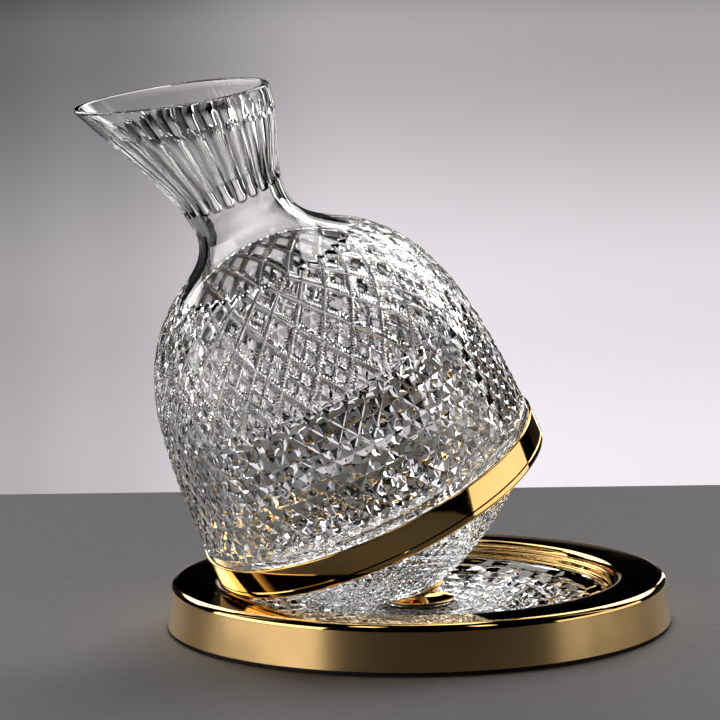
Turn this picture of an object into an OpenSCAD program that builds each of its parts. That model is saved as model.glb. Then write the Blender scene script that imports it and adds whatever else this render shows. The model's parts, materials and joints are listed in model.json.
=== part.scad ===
// Cut-crystal tumbling decanter on a round rolling tray.
// The tip of the decanter turns on a small pivot at the tray's centre, and its
// gold band rests on the tray's inner roll, so that it leans, rolls round and spins.

/* [Tray] */
// Height of the tray's flat top above the table
tray_h = 20; // [19:0.5:22]
// Width of the tray's raised rim, from the inner roll to the foot of the outer wall
rim_w = 19.5; // [17:0.5:26]
// How much further in the outer wall is at its top than at its foot
wall_draft = 1.6; // [0:0.1:3]
// Radius of the rounded outer edge of the top
edge_round = 3; // [2.2:0.1:5]
// Radius of the roll that the decanter's band rests on
roll_round = 3; // [2.2:0.1:3.4]
// Angle above the horizontal at which the band touches the roll
touch_angle = 62.3; // [45:0.1:80]
// Thickness of the tray's sheet metal
sheet_t = 1.4; // [1:0.1:1.8]
// Depth of the upper step in the well, below the flat top
step1_depth = 3.8; // [3.6:0.1:4.6]
// Depth of the lower step in the well, below the flat top
step2_depth = 6; // [5.6:0.1:6.5]
// Width of each step in the well
step_w = 2.3; // [1.8:0.1:2.8]
// Width of the ledge that the dish lies on
ledge_w = 7; // [5:0.5:10]
// Thickness of the soft pad under the tray
pad_t = 1.6; // [1.2:0.1:2]
// Thickness of the steel base plate
plate_t = 1.4; // [1.2:0.1:1.6]
// Height of the ballast ring in the rim
ballast_h = 7; // [4:0.5:7.5]

/* [Glass dish] */
// Gap between the dish and the wall of the well
dish_gap = 0.4; // [0.2:0.1:0.8]
// Depth of the dish's rim below the flat top
dish_rim_depth = 6.5; // [6:0.1:7]
// Thickness of the dish
dish_t = 3.7; // [3.4:0.1:4]
// Thickness of the soft rings under the dish
gasket_t = 0.5; // [0.3:0.1:0.7]

/* [Pivot] */
// Height of the pivot ball's centre above the saucer's floor
post_h = 7; // [6.7:0.1:8]
// Radius of the pivot ball
ball_r = 3; // [2.7:0.1:3.2]
// Radius of the conical post at its foot
post_foot_r = 4.35; // [4:0.05:4.8]
// Radius of the conical post at its top
post_top_r = 1.5; // [1.2:0.1:1.7]
// Radius of the post's spindle
spindle_r = 3; // [2.7:0.1:3.2]
// Radius of the saucer round the post
saucer_r = 15; // [14:0.1:16]
// Rise of the saucer's rim above its floor
saucer_rise = 2.4; // [2.2:0.1:2.8]
// Depth of the saucer's floor below the middle of the glass dish
saucer_sink = 0.2; // [0:0.1:0.4]
// Thickness of the saucer's sheet
saucer_t = 0.8; // [0.6:0.1:1]
// Outer radius of the ball bearing
bearing_r = 6.5; // [6:0.1:7]
// Height of the ball bearing
bearing_h = 3.5; // [3:0.1:3.7]
// Number of balls in the bearing
bearing_ball_count = 7; // [6:1:8]

/* [Band] */
// Radius of the gold band's outer face
band_r = 73.8; // [66:0.1:80]
// Distance of the band's lower edge from the pivot, along the decanter's axis
band_s = 40.3; // [37:0.1:44]
// Height of the band
band_h = 13.2; // [11:0.1:16]
// Height of the fine groove above the band's lower edge
groove_up = 3; // [2.5:0.1:5]
// Thickness of the band
band_t = 1.4; // [1:0.1:1.6]
// Radius of the band's rounded lower corner, which rolls on the tray
band_round = 1.2; // [0.8:0.1:1.3]
// Thickness of the adhesive between the band and the glass
glue_t = 0.4; // [0.2:0.05:0.6]

/* [Decanter] */
// Radius of the decanter's flat tip
tip_r = 11.5; // [11:0.1:12.2]
// How far the glass above the band stands in from the band's face
collar_in = 1; // [0.5:0.1:2]
// Height from the band to the shoulder's steepest place
body_h = 98.4; // [80:0.2:120]
// Radius of the shoulder at that place
shoulder_r = 43; // [40:0.5:46]
// Height from that place to the neck's narrowest place
throat_h = 24.5; // [20:0.5:32]
// Radius of the neck at its narrowest place
waist_r = 20.2; // [18:0.1:24]
// Height from there to the middle of the mouth's rim
neck_h = 53; // [44:0.5:64]
// Radius of the mouth, away from the lip
mouth_r = 32; // [28:0.1:35]
// How far the pouring lip stands out
lip_reach = 10.8; // [6:0.1:14]
// How late the lip begins to stand out: the higher, the nearer to the rim
lip_growth = 3.6; // [1.4:0.1:4]
// Sharpness of the pouring lip: the higher, the narrower
lip_power = 4.65; // [3:0.05:6]
// Rise of the oblique mouth per unit of width
mouth_slope = 0.309; // [0.1:0.005:0.35]
// Turn of the lip away from the lowest side, in degrees
lip_turn = 12; // [-30:1:30]
// Thickness of the glass in the body
wall_t = 3.6; // [3:0.1:4.2]
// Thickness of the glass at the mouth's rim
rim_t = 2.6; // [2:0.1:3.2]
// Thickness of the glass under the cavity, at the tip
tip_glass = 12; // [9.5:0.1:14]
// Gold flange's radius
flange_r = 12.6; // [12.2:0.1:13]
// Gold flange's thickness
flange_t = 2.6; // [2.3:0.1:3]

/* [Hidden] */
// Gap at which the band floats over the tray's roll
air = 0.3;
// Running clearance between turning pieces, on the radius
run_fit = 0.1;
// Clearance of a fixed piece in its hole, on the radius
loose_fit = 0.1;
// How far cutting tools run past the piece they cut
cut = 1;
// Smoothness of round surfaces
$fn = 96;
gold = "#c9973f";
crystal = [0.86, 0.9, 0.93, 0.45];
steel = "#9aa0a6";
rubber = "#1c1c1e";
glue = "#e8e6de";
bronze = "#a8763a";

// ---- heights of the tray's stack, from the table up ----
plate_z = pad_t;
floor_z = plate_z + plate_t;
step1_z = tray_h - step1_depth;
step2_z = tray_h - step2_depth;
dish_rim_z = tray_h - dish_rim_depth;
dish_bottom_z = dish_rim_z - dish_t;
ledge_z = dish_bottom_z - gasket_t;
hub_flange_t = 1;
dish_hub_z = floor_z + hub_flange_t + gasket_t;
dish_centre_z = dish_hub_z + dish_t;

// ---- bearing, saucer and pivot, from the base plate up ----
bearing_lip = 0.3;
bearing_z = floor_z + bearing_lip;
bearing_top = bearing_z + bearing_h;
race_t = 0.9;
race_groove_gap = 0.05;
bearing_mid_r = (spindle_r + bearing_r) / 2;
bearing_ball_r = (bearing_r - spindle_r) / 2 - race_t + 0.25;
hub_wall = 2.2;
hub_r = bearing_r + hub_wall;
hub_flange_r = 17;
hub_top = bearing_top - 0.1;
rivet_count = 3;
rivet_r = 1;
saucer_floor_z = dish_centre_z - saucer_sink;
saucer_floor_r = 5;
pivot_h = saucer_floor_z + post_h;
dish_hole_r = saucer_r - 1.8;
rivet_pcr = (hub_r + dish_hole_r) / 2;
clip_t = 0.6;
clip_r = 4.4;
clip_depth = 0.7;
clip_mouth = 1.6;
spindle_end = 0.7;

// ---- lean of the decanter: its band's lower corner rests on the tray's roll ----
corner_s = band_s + band_round;
corner_r = band_r - band_round;
corner_reach = norm([corner_s, corner_r]);
roll_z = tray_h - roll_round;
touch = band_round + roll_round + air;
corner_z = roll_z + touch * sin(touch_angle);
corner_tilt = acos((corner_z - pivot_h) / corner_reach);
lean = corner_tilt - atan2(corner_r, corner_s);

// ---- radii of the tray, outwards from the place where the band touches it ----
flat_inner_r = corner_reach * sin(corner_tilt) + touch * cos(touch_angle);
well_r = flat_inner_r - roll_round;
step1_r = well_r - step_w;
step2_r = step1_r - step_w;
ledge_r = step2_r - ledge_w;
dish_r = step2_r - dish_gap;
tray_r = flat_inner_r + rim_w;
top_r = tray_r - wall_draft;
step_round = 0.6;

// ---- screws of the base plate ----
screw_count = 6;
screw_r = 1.5;
screw_head_r = 2.9;
screw_len = 9;
screw_drive_r = 1;
screw_drive_depth = 0.8;
boss_r = 3.6;
boss_pcr = flat_inner_r + rim_w * 0.36;
ballast_gap = 1;

// ---- the tip's pieces, along the decanter's axis from the pivot ----
flange_s = -1;
flange_chamfer = 0.9;
flange_top_s = flange_s + flange_t;
cup_s = flange_s + 0.2;
cup_r = ball_r + 1.4;
cup_top_s = 2 * ball_r;
cup_head_r = cup_r + 0.6;
cup_head_t = 0.8;
bush_t = 0.7;
bush_r = cup_r + run_fit + bush_t;
bush_top_s = cup_top_s - run_fit;
sleeve_r = bush_r + 0.9;
socket_r = sleeve_r + loose_fit;
tip_s = flange_top_s + glue_t;
thrust_s = cup_top_s + cup_head_t;
thrust_t = 0.5;
socket_s = thrust_s + thrust_t + run_fit;

// ---- outline of the decanter ----
seat_up = 3.2;
seat_r = band_r - band_t - glue_t;
seat_s = band_s + seat_up;
collar_step = 0.6;
collar_s = band_s + band_h + collar_step;
body_r = band_r - collar_in;
shoulder_s = collar_s + body_h;
waist_s = shoulder_s + throat_h;
mouth_s = waist_s + neck_h;
cone_power = 0.7;
// Radius of the flat middle of the cavity's floor
floor_r = 4;
// Height of the mouth's rounded rim
rim_round = 0.9;
// The curves' control lengths, as shares of the height that each curve spans
body_pull = 0.427;
shoulder_pull = 0.335;
neck_pull = 0.41;
throat_pull = 0.53;
flare_pull = [0.3, 0.475];
// How far the curves' control points draw the body and the mouth in
body_draw = 1.2;
mouth_draw = 1.7;
// Slope of the shoulder at its steepest place, in degrees from the axis
shoulder_slope = 52;
glass_columns = 48;
cone_rows = 8;
body_rows = 12;
throat_rows = 5;
neck_rows = 10;

function arc(x, y, r, a0, a1, n = 8) =
    [for (i = [0 : n]) let (a = a0 + (a1 - a0) * i / n) [x + r * cos(a), y + r * sin(a)]];

function bezier(a, b, c, d, t) =
    a * pow(1 - t, 3) + 3 * b * t * pow(1 - t, 2) + 3 * c * t * t * (1 - t) + d * pow(t, 3);

module spun() rotate_extrude() children();

module ring(inner, outer, z0, z1) {
    translate([0, 0, z0])
        difference() {
            cylinder(r = outer, h = z1 - z0);
            translate([0, 0, -cut]) cylinder(r = inner, h = z1 - z0 + 2 * cut);
        }
}

module around(count, radius) {
    for (i = [0 : count - 1])
        rotate([0, 0, i * 360 / count]) translate([radius, 0, 0]) children();
}

// Puts a piece drawn along the decanter's own axis into its leaning place
module leaning() {
    translate([0, 0, pivot_h]) rotate([0, -lean, 0]) children();
}

// ==== tray ====

module tray_shell() {
    inner_edge = edge_round - sheet_t;
    inner_roll = roll_round - sheet_t;
    outside = concat(
        [[tray_r, plate_z]],
        arc(top_r - edge_round, tray_h - edge_round, edge_round, 0, 90),
        arc(flat_inner_r, roll_z, roll_round, 90, 180),
        [[well_r, step1_z + step_round]],
        [[well_r - step_round, step1_z]],
        arc(step1_r + step_round, step1_z - step_round, step_round, 90, 180, 4),
        [[step1_r, step2_z + step_round / 2]],
        [[step1_r - step_round / 2, step2_z]],
        arc(step2_r + step_round, step2_z - step_round, step_round, 90, 180, 4),
        [[step2_r, ledge_z], [ledge_r, ledge_z]]);
    inside = concat(
        [[ledge_r, ledge_z - sheet_t], [step2_r + sheet_t, ledge_z - sheet_t]],
        [[step2_r + sheet_t, step2_z - sheet_t], [step1_r + sheet_t, step2_z - sheet_t]],
        [[step1_r + sheet_t, step1_z - sheet_t], [well_r + sheet_t, step1_z - sheet_t]],
        arc(flat_inner_r, roll_z, inner_roll, 180, 90),
        arc(top_r - edge_round, tray_h - edge_round, inner_edge, 90, 0),
        [[tray_r - sheet_t, plate_z]]);
    color(gold) {
        spun() polygon(concat(outside, inside));
        around(screw_count, boss_pcr)
            difference() {
                translate([0, 0, floor_z]) cylinder(r = boss_r, h = tray_h - sheet_t / 2 - floor_z);
                translate([0, 0, plate_z]) cylinder(r = screw_r, h = screw_len + cut);
            }
    }
}

module foot_pad() {
    pad_in = 2;
    color(rubber) cylinder(r = tray_r - pad_in, h = pad_t);
}

module base_plate() {
    hub_hole_r = clip_r + 1;
    plate_r = tray_r - sheet_t - loose_fit - wall_draft / 4;
    color(steel)
        difference() {
            translate([0, 0, plate_z]) cylinder(r = plate_r, h = plate_t);
            through_plate(hub_hole_r);
            around(screw_count, boss_pcr) screw_hole();
            around(rivet_count, rivet_pcr) through_plate(rivet_r);
        }
}

module through_plate(r) {
    translate([0, 0, plate_z - cut]) cylinder(r = r, h = plate_t + 2 * cut);
}

module screw_hole() {
    through_plate(screw_r + loose_fit);
    translate([0, 0, plate_z])
        cylinder(r1 = screw_head_r + loose_fit, r2 = screw_r + loose_fit, h = plate_t);
}

module plate_screws() {
    color(steel)
        around(screw_count, boss_pcr)
            translate([0, 0, plate_z])
                difference() {
                    union() {
                        cylinder(r1 = screw_head_r, r2 = screw_r, h = plate_t);
                        cylinder(r = screw_r, h = screw_len);
                    }
                    translate([0, 0, -cut])
                        cylinder(r = screw_drive_r, h = screw_drive_depth + cut, $fn = 6);
                }
}

module ballast_ring() {
    inner = step2_r + sheet_t + 2 * ballast_gap;
    outer = top_r - sheet_t - ballast_gap;
    color(steel)
        difference() {
            ring(inner, outer, floor_z, floor_z + ballast_h);
            around(screw_count, boss_pcr)
                translate([0, 0, floor_z - cut])
                    cylinder(r = boss_r + ballast_gap / 2, h = ballast_h + 2 * cut);
        }
}

// ==== glass dish ====

// Radii between which the dish's lower face rises from the hub to the ledge
dish_under_in = hub_flange_r + 1;
dish_under_out = ledge_r - 1;
dish_rim_round = 1;

function dish_face_z(r) = dish_centre_z + (dish_rim_z - dish_centre_z) * pow(r / dish_r, 2);

function dish_under_z(r) =
    let (share = (r - dish_under_in) / (dish_under_out - dish_under_in))
    dish_hub_z + (dish_bottom_z - dish_hub_z) * pow(share, 1.6);

module glass_dish() {
    steps = 16;
    face = [for (i = [0 : steps])
        let (r = dish_hole_r + (dish_r - dish_rim_round - dish_hole_r) * i / steps) [r, dish_face_z(r)]];
    under = [for (i = [steps : -1 : 0])
        let (r = dish_under_in + (dish_under_out - dish_under_in) * i / steps) [r, dish_under_z(r)]];
    color(crystal)
        spun() polygon(concat(
            face,
            [[dish_r, dish_rim_z - dish_rim_round], [dish_r, dish_bottom_z]],
            under,
            [[dish_hole_r, dish_hub_z]]));
}

module dish_gasket() {
    color(rubber) ring(ledge_r, dish_r - gasket_t, ledge_z, dish_bottom_z);
}

module centre_gasket() {
    color(rubber) ring(dish_hole_r, hub_flange_r, dish_hub_z - gasket_t, dish_hub_z);
}

// ==== hub, bearing and spindle ====

module hub_housing() {
    color(steel)
        difference() {
            union() {
                translate([0, 0, floor_z]) cylinder(r = hub_flange_r, h = hub_flange_t);
                translate([0, 0, floor_z]) cylinder(r = hub_r, h = hub_top - floor_z);
            }
            translate([0, 0, bearing_z]) cylinder(r = bearing_r, h = bearing_h + cut);
            translate([0, 0, floor_z - cut]) cylinder(r = bearing_r - race_t, h = bearing_lip + 2 * cut);
            around(rivet_count, rivet_pcr)
                translate([0, 0, floor_z - cut]) cylinder(r = rivet_r, h = hub_flange_t + 2 * cut);
        }
}

module hub_rivets() {
    head_h = 0.5;
    head_r = rivet_r * 1.6;
    low = plate_z + loose_fit;
    color(steel)
        around(rivet_count, rivet_pcr) {
            translate([0, 0, low]) cylinder(r = rivet_r, h = floor_z + hub_flange_t - low);
            translate([0, 0, floor_z + hub_flange_t]) cylinder(r1 = head_r, r2 = rivet_r, h = head_h);
        }
}

// A race is a ring with a groove for the balls
module race(inner, outer) {
    groove_r = bearing_ball_r + race_groove_gap;
    color(steel)
        difference() {
            ring(inner, outer, bearing_z, bearing_top);
            translate([0, 0, bearing_z + bearing_h / 2])
                rotate_extrude() translate([bearing_mid_r, 0]) circle(r = groove_r, $fn = 32);
        }
}

module bearing_outer_race() race(bearing_r - race_t, bearing_r);

module bearing_inner_race() race(spindle_r, spindle_r + race_t);

module bearing_balls() {
    color(steel)
        around(bearing_ball_count, bearing_mid_r)
            translate([0, 0, bearing_z + bearing_h / 2]) sphere(r = bearing_ball_r, $fn = 32);
}

module bearing_cage() {
    cage_t = 0.5;
    cage_h = bearing_h * 0.77;
    mid = bearing_z + bearing_h / 2;
    color(bronze)
        difference() {
            ring(bearing_mid_r - cage_t / 2, bearing_mid_r + cage_t / 2, mid - cage_h / 2, mid + cage_h / 2);
            around(bearing_ball_count, bearing_mid_r)
                translate([0, 0, mid]) sphere(r = bearing_ball_r + race_groove_gap, $fn = 32);
        }
}

module spacer_washer() {
    color(bronze) ring(spindle_r, spindle_r + race_t, bearing_top, saucer_floor_z - saucer_t);
}

function saucer_z(r) =
    saucer_floor_z + saucer_rise * pow(max(0, r - saucer_floor_r) / (saucer_r - saucer_floor_r), 2);

module saucer() {
    steps = 12;
    top = [for (i = [0 : steps])
        let (r = saucer_floor_r + (saucer_r - saucer_floor_r) * i / steps) [r, saucer_z(r)]];
    under = [for (i = [steps : -1 : 0])
        let (r = saucer_floor_r + (saucer_r - saucer_floor_r) * i / steps) [r, saucer_z(r) - saucer_t]];
    color(gold)
        spun() polygon(concat(
            [[spindle_r, saucer_floor_z]],
            top,
            under,
            [[spindle_r, saucer_floor_z - saucer_t]]));
}

module pivot_post() {
    low = plate_z + spindle_end;
    clip_top = bearing_z;
    clip_low = clip_top - clip_t;
    neck = spindle_r - clip_depth;
    foot_edge = 0.3;
    end_round = 0.2;
    cone_top = pivot_h - ball_r * 0.73;
    color(gold)
        difference() {
            spun() polygon([
                [0, low], [spindle_r - end_round, low], [spindle_r, low + end_round],
                [spindle_r, clip_low], [neck, clip_low], [neck, clip_top], [spindle_r, clip_top],
                [spindle_r, saucer_floor_z], [post_foot_r, saucer_floor_z],
                [post_foot_r, saucer_floor_z + foot_edge], [post_top_r, cone_top], [0, cone_top]]);
            translate([0, 0, pivot_h]) sphere(r = ball_r + run_fit / 2);
        }
}

module spindle_clip() {
    color(steel)
        difference() {
            ring(spindle_r - clip_depth, clip_r, bearing_z - clip_t, bearing_z);
            translate([0, -clip_mouth, bearing_z - clip_t - cut])
                cube([clip_r + cut, 2 * clip_mouth, clip_t + 2 * cut]);
        }
}

// ==== ball joint in the decanter's tip ====

module pivot_ball() {
    color(gold) translate([0, 0, pivot_h]) sphere(r = ball_r);
}

module ball_cup() {
    color(bronze)
        leaning()
            difference() {
                union() {
                    translate([0, 0, cup_s]) cylinder(r = cup_r, h = cup_top_s - cup_s);
                    translate([0, 0, cup_top_s]) cylinder(r = cup_head_r, h = cup_head_t);
                }
                sphere(r = ball_r + run_fit);
            }
}

module thrust_washer() {
    hole_r = cup_head_r / 5;
    color(glue) leaning() ring(hole_r, cup_head_r, thrust_s, thrust_s + thrust_t);
}

module spin_bush() {
    color(bronze) leaning() ring(cup_r + run_fit, bush_r, flange_s + loose_fit, bush_top_s);
}

module tip_flange() {
    edge = flange_chamfer / 2;
    color(gold)
        leaning()
            spun() polygon([
                [bush_r, flange_s], [flange_r - flange_chamfer * 1.6, flange_s],
                [flange_r, flange_s + flange_chamfer], [flange_r, flange_top_s - edge],
                [flange_r - edge, flange_top_s],
                [sleeve_r, flange_top_s], [sleeve_r, bush_top_s], [bush_r, bush_top_s]]);
}

module tip_adhesive() {
    color(glue) leaning() ring(socket_r, tip_r - glue_t, flange_top_s, tip_s);
}

// ==== band ====

module roll_band() {
    inner = band_r - band_t;
    face_s = band_s + groove_up;
    groove = 0.35;
    edge = 0.5;
    lip_s = band_s + band_round;
    color(gold)
        leaning()
            spun() polygon(concat(
                arc(corner_r, corner_s, band_round, -90, 0),
                [[band_r, face_s - groove], [band_r - groove, face_s], [band_r, face_s + groove]],
                [[band_r, band_s + band_h - edge], [band_r - edge, band_s + band_h]],
                [[inner, band_s + band_h], [inner, seat_s - 2 * edge]],
                // The underside runs in below the glass, to hide the adhesive
                [[cone_radius(lip_s) + glue_t, lip_s], [cone_radius(band_s) + glue_t, band_s]]));
}

module band_adhesive() {
    // The adhesive bites a little into the ground seat
    bite = 0.05;
    color(glue)
        leaning()
            ring(seat_r - bite, band_r - band_t, seat_s + glue_t, band_s + band_h - 2 * glue_t);
}

// ==== decanter ====

function cone_radius(s) = tip_r + (seat_r - tip_r) * pow(max(0, s - tip_s) / (seat_s - tip_s), cone_power);

// Outline points are [distance along the axis, radius]
function cone_line() = [for (i = [0 : cone_rows])
    let (s = tip_s + (seat_s - tip_s) * pow(i / cone_rows, 1.3)) [s, cone_radius(s)]];

function shoulder_dir() = [cos(shoulder_slope), -sin(shoulder_slope)];

function body_line() =
    let (a = [collar_s, body_r], d = [shoulder_s, shoulder_r])
    [for (i = [0 : body_rows])
        bezier(
            a, a + [body_pull * body_h, -body_draw],
            d - shoulder_pull * body_h * shoulder_dir(), d, i / body_rows)];

function throat_line() =
    let (a = [shoulder_s, shoulder_r], d = [waist_s, waist_r])
    [for (i = [1 : throat_rows])
        bezier(
            a, a + neck_pull * throat_h * shoulder_dir(),
            d - [throat_pull * throat_h, 0], d, i / throat_rows)];

// The neck from its waist to the rim at share u of its height
function neck_point(u) =
    let (a = [waist_s, waist_r], d = [mouth_s, mouth_r])
    bezier(a, a + [flare_pull[0] * neck_h, 0], d - [flare_pull[1] * neck_h, mouth_draw], d, u);

function lip(phi) = pow((1 + cos(phi)) / 2, lip_power);

// A point of the neck at angle phi from the lip, with the wall set in by t
function neck_at(u, phi, t) =
    let (p = neck_point(u), out = lip_reach * lip(phi) * pow(u, lip_growth))
    let (x = (p.y + out - t) * cos(phi), y = (p.y + out - t) * sin(phi))
    [x, y, p.x + mouth_slope * x * pow(u, 1.5)];

function circle_at(p) = [for (k = [0 : glass_columns - 1])
    let (phi = k * 360 / glass_columns) [p.y * cos(phi), p.y * sin(phi), p.x]];

function neck_ring(u, t, up = 0) = [for (k = [0 : glass_columns - 1])
    neck_at(u, k * 360 / glass_columns, t) + [0, 0, up]];

// The inner outline follows the outer one, set in along its normal
function inset(line, t) = [for (i = [0 : len(line) - 1])
    let (a = line[max(0, i - 1)], b = line[min(len(line) - 1, i + 1)])
    let (d = (b - a) / norm(b - a))
    line[i] + t * [d.y, -d.x]];

function wall_at(i, n) = wall_t + (rim_t - wall_t) * i / n;

// Rings of the glass from the socket's ceiling, over the outside and the rim, down to the cavity's floor
function glass_rings() =
    let (low = concat(cone_line(), [[collar_s - collar_step, seat_r]], body_line(), throat_line()))
    let (floor_s = tip_s + tip_glass)
    let (hollow = [for (p = inset(low, wall_t)) if (p.x > floor_s && p.y > floor_r) p])
    concat(
        [circle_at([socket_s, socket_r]), circle_at([tip_s, socket_r])],
        [for (p = low) circle_at(p)],
        [for (i = [1 : neck_rows]) neck_ring(i / neck_rows, 0)],
        [neck_ring(1, rim_t * 0.3, rim_round), neck_ring(1, rim_t * 0.7, rim_round), neck_ring(1, rim_t)],
        [for (i = [neck_rows - 1 : -1 : 1]) neck_ring(i / neck_rows, wall_at(i, neck_rows))],
        [for (i = [len(hollow) - 1 : -1 : 0]) circle_at(hollow[i])],
        [circle_at([floor_s, floor_r])]);

// A closed skin through rings of points. It has a flat cap at each end, or joins its last ring
// to its first.
module skin(rings, capped = true) {
    n = len(rings[0]);
    m = len(rings);
    sides = [for (i = [0 : capped ? m - 2 : m - 1], k = [0 : n - 1])
        let (h = (i + 1) % m, l = (k + 1) % n)
        let (a = i * n + k, b = i * n + l, c = h * n + k, d = h * n + l)
        each [[a, c, d], [a, d, b]]];
    first_cap = [for (k = [0 : n - 1]) k];
    last_cap = [for (k = [n - 1 : -1 : 0]) (m - 1) * n + k];
    polyhedron(
        points = [for (r = rings) each r],
        faces = capped ? concat(sides, [first_cap, last_cap]) : sides);
}

module turned_glass() {
    color(crystal) leaning() rotate([0, 0, 180 - lip_turn]) children();
}

// The glass is drawn as two solids that meet at the collar over the band, its pointed foot and
// its body, so that each hollow is open at its seam. These rings bound them.
seam_out = 2 + cone_rows + 2;
function seam_in(rings) = len(rings) - 2 - len([
    for (p = inset(concat(cone_line(), [[collar_s - collar_step, seat_r]]), wall_t))
        if (p.x > tip_s + tip_glass && p.y > floor_r) p]);

// The pointed foot with the band's seat, up to the seam at the collar
module glass_foot() {
    rings = glass_rings();
    inner = seam_in(rings);
    turned_glass() skin([
        for (i = [0 : len(rings) - 1])
            if (i <= seam_out || i >= inner) rings[i]]);
}

// The body with its neck and mouth, from the seam up
module glass_decanter() {
    rings = glass_rings();
    turned_glass() skin([for (i = [seam_out : seam_in(rings)]) rings[i]], false);
}

tray_shell();
foot_pad();
base_plate();
plate_screws();
ballast_ring();
glass_dish();
dish_gasket();
centre_gasket();
hub_housing();
hub_rivets();
bearing_outer_race();
bearing_inner_race();
bearing_balls();
bearing_cage();
spacer_washer();
saucer();
pivot_post();
spindle_clip();
pivot_ball();
ball_cup();
thrust_washer();
spin_bush();
tip_flange();
tip_adhesive();
roll_band();
band_adhesive();
glass_foot();
glass_decanter();
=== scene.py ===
"""Looks of the tumbling crystal decanter on its gold rolling tray.

Points are in millimetres and become metres as each mesh is made. The decanter's pieces are made upright,
with their axis on Z and the pivot at the origin, and are then leaned over the tray.
"""

import json
import math

import bmesh
import bpy
import numpy as np
from mathutils import Matrix, Vector


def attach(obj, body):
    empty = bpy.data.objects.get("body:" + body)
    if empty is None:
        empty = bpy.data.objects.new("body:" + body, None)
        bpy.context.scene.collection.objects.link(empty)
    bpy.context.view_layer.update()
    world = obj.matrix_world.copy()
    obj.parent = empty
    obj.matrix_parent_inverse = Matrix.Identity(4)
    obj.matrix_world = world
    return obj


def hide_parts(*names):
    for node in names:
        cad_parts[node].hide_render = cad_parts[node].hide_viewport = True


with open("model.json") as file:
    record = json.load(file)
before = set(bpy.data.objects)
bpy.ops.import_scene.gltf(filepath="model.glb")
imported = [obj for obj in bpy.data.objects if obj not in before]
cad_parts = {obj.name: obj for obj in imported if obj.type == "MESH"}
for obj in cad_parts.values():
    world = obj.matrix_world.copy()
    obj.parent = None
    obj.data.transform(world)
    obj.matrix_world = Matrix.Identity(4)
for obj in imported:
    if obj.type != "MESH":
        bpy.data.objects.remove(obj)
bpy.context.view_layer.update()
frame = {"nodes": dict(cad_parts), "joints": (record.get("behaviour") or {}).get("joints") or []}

MM = 0.001
TAU = 2 * math.pi

# ---- the decanter's lean comes from the spin joint, and the pivot from its place ----
spin = [joint for joint in frame["joints"] if joint["name"] == "decanter_spin"][0]
PIVOT_Z = spin["pos_m"][2] / MM
LEAN = math.atan2(-spin["axis"][0], spin["axis"][2])
LEANING = Matrix.Translation((0, 0, PIVOT_Z * MM)) @ Matrix.Rotation(-LEAN, 4, "Y")
LIP_TURN = 12.0                   # degrees between the pouring lip and the way the decanter leans
GLASS_PLACE = LEANING @ Matrix.Rotation(math.radians(180 - LIP_TURN), 4, "Z")


# ================= sizes in millimetres, as in the solids =================
# _R is a radius, _Z a height above the table, and _S a distance from the pivot along the decanter's axis.

# ---- tray ----
PAD_T = 1.6
TRAY_H = 20.0
RIM_W = 19.5
DRAFT = 1.6                       # how far the outer wall leans in
EDGE_ROUND = 3.0
ROLL_ROUND = 3.0
SHEET_T = 1.4
STEP1 = 3.8
STEP2 = 6.0
STEP_W = 2.3
STEP_ROUND = 0.6
LEDGE_W = 7.0
FLAT_INNER_R = 85.5
TRAY_R = FLAT_INNER_R + RIM_W
TOP_R = TRAY_R - DRAFT
WELL_R = FLAT_INNER_R - ROLL_ROUND
STEP1_R = WELL_R - STEP_W
STEP2_R = STEP1_R - STEP_W
LEDGE_R = STEP2_R - LEDGE_W
STEP1_Z = TRAY_H - STEP1
STEP2_Z = TRAY_H - STEP2
SATIN_R = TOP_R - 0.3             # faces outside this radius that start below this height are satin
SATIN_Z = 5.0

# ---- glass dish ----
DISH_PLAY = 0.4
DISH_R = STEP2_R - DISH_PLAY
DISH_RIM_Z = 13.5
DISH_T = 3.7
GASKET_T = 0.5
DISH_BOTTOM_Z = DISH_RIM_Z - DISH_T
LEDGE_Z = DISH_BOTTOM_Z - GASKET_T
DISH_HUB_Z = 4.5
DISH_CENTRE_Z = DISH_HUB_Z + DISH_T
DISH_HOLE_R = 13.2
DISH_UNDER_IN = 18.0
DISH_UNDER_OUT = LEDGE_R - 1

# ---- saucer, post and ball ----
SAUCER_R = 15.0
SAUCER_RISE = 2.4
SAUCER_T = 0.8
SAUCER_FLOOR_Z = 8.0
SAUCER_FLOOR_R = 5.0
SAUCER_EDGE = 0.3
SAUCER_EDGE_DROP = 0.35
SPINDLE_R = 3.0
BALL_R = 3.0
DIMPLE_R = BALL_R + 0.05
POST_FOOT_R = 4.35
POST_TOP_R = 1.5
POST_FOOT_EDGE = 0.3
POST_TOP_SHARE = 0.73             # the post ends this share of the ball's radius under the ball's centre
POST_POWER = 0.9                  # how much the post's cone is hollowed

# ---- gold band and tip flange ----
BAND_R = 73.8
BAND_S = 40.3
BAND_H = 13.2
BAND_T = 1.4
BAND_ROUND = 1.2
BAND_EDGE = 0.5
GLUE_T = 0.4
GROOVE_UP = 3.0                   # a fine groove round the band, above its lower edge
GROOVE = 0.35
FLANGE_R = 12.6
FLANGE_S = -1.0
FLANGE_TOP_S = 1.6
FLANGE_CHAMFER = 0.9
FLANGE_EDGE = 0.45
BUSH_R = 5.2
BUSH_TOP_S = 5.9
SLEEVE_R = 6.1

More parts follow.
